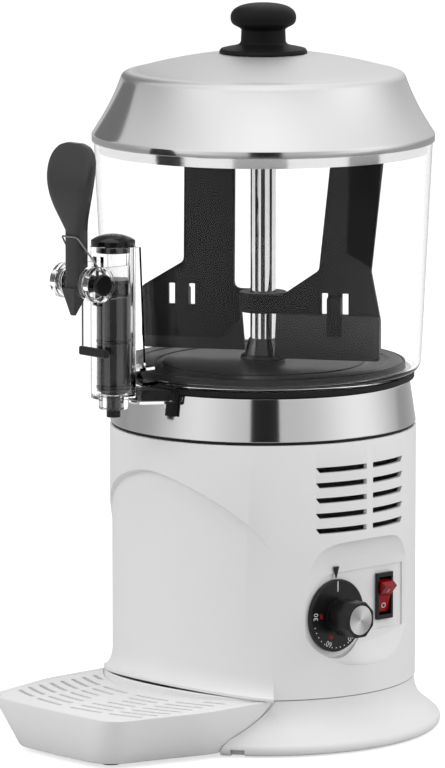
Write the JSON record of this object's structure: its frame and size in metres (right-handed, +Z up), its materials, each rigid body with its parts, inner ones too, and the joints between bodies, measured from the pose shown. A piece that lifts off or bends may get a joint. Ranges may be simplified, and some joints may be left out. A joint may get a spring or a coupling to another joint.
{
  "type": "hot chocolate dispenser",
  "caption": "Countertop hot drink dispenser: clear bowl with a turning stirrer over a heated base, front tap with a pull lever, lift-off steel lid, dial, switch and drip tray.",
  "frame": {"origin": "middle of the footprint of foot and drip tray, on the worktop", "axes": "+Z up; -Y to the front with tap and drip tray; +X to the side with dial and switch"},
  "size_m": [0.229, 0.2985, 0.465],
  "materials": {
    "white_plastic": "moulded, satin white",
    "black_plastic": "moulded, satin black",
    "dark_plastic": "moulded, dull black",
    "black_rubber": "moulded",
    "steel": "polished or brushed",
    "clear_plastic": "clear polycarbonate",
    "bronze": "sintered bush",
    "red_plastic": "translucent red"
  },
  "bodies": {
    "machine": {"base_foot": "white_plastic", "base_plate": "steel", "rubber_foot_1": "black_rubber", "rubber_foot_2": "black_rubber", "rubber_foot_3": "black_rubber", "rubber_foot_4": "black_rubber", "body_shell": "white_plastic", "deck_plate": "steel", "steel_ring": "steel", "heating_plate": "black_plastic", "heating_element": "steel", "plate_spacer_1": "steel", "plate_spacer_2": "steel", "plate_spacer_3": "steel", "column_tube": "steel", "column_hub": "black_plastic", "lower_bush": "bronze", "upper_bush": "bronze", "gearbox": "steel", "motor": "dark_plastic", "thermostat": "dark_plastic", "panel_pointer": "black_plastic", "switch_housing": "black_plastic", "cable_gland": "black_plastic"},
    "drive": {"drive_shaft": "steel", "stirrer": "dark_plastic", "scraper_outer": "black_plastic", "scraper_inner": "black_plastic"},
    "bowl_unit": {"bowl": "clear_plastic", "tap_body": "clear_plastic", "bowl_seal": "black_rubber", "pivot_pin": "black_plastic", "pin_cap": "black_plastic", "return_spring": "steel", "spring_bar": "black_plastic", "tap_nozzle": "black_plastic"},
    "tap_cap": {"tap_cap": "black_plastic"},
    "tap_lever": {"tap_lever": "black_plastic"},
    "tap_piston": {"tap_piston": "black_plastic", "piston_ring_upper": "black_rubber", "piston_ring_lower": "black_rubber"},
    "lid": {"lid_shell": "steel", "lid_knob": "black_plastic", "knob_screw": "steel"},
    "dial": {"dial": "black_plastic", "dial_insert": "steel"},
    "rocker": {"switch_rocker": "red_plastic"},
    "tray": {"drip_tray": "white_plastic", "tray_pad_left": "black_rubber", "tray_pad_right": "black_rubber"},
    "grille": {"drip_grille": "white_plastic"}
  },
  "joints": [
    {"name": "stirrer_spin", "type": "hinge", "parent": "machine", "child": "drive", "pos_m": [0, 0.03475, 0.3], "axis": [0, 0, 1], "continuous": true},
    {"name": "bowl_lift", "type": "slide", "parent": "machine", "child": "bowl_unit", "axis": [0, 0, 1], "range_m": [0, 0.165]},
    {"name": "lid_lift", "type": "slide", "parent": "bowl_unit", "child": "lid", "axis": [0, 0, 1], "range_m": [0, 0.06]},
    {"name": "lever_pull", "type": "hinge", "parent": "bowl_unit", "child": "tap_lever", "pos_m": [0, -0.11785, 0.3], "axis": [1, 0, 0], "range_deg": [0, 30], "stiffness_Nm_per_rad": 0.1, "springref_deg": -20.05, "deforming": ["return_spring"]},
    {"name": "piston_lift", "type": "slide", "parent": "bowl_unit", "child": "tap_piston", "axis": [0, 0, 1], "range_m": [0, 0.0115]},
    {"name": "cap_lift", "type": "slide", "parent": "bowl_unit", "child": "tap_cap", "axis": [0, 0, 1], "range_m": [0, 0.03]},
    {"name": "dial_turn", "type": "hinge", "parent": "machine", "child": "dial", "pos_m": [0.1, 0.01545, 0.085], "axis": [1, 0, 0], "range_deg": [0, 270]},
    {"name": "rocker_tip", "type": "hinge", "parent": "machine", "child": "rocker", "pos_m": [0.0866, 0.05775, 0.0925], "axis": [0, -1, 0], "range_deg": [0, 18]},
    {"name": "tray_out", "type": "slide", "parent": "machine", "child": "tray", "axis": [0, -1, 0], "range_m": [0, 0.11]},
    {"name": "grille_lift", "type": "slide", "parent": "tray", "child": "grille", "axis": [0, 0, 1], "range_m": [0, 0.03]}
  ],
  "couplings": [
    {"joint": "piston_lift", "follows": "lever_pull", "m_per_rad": 0.0218}
  ]
}
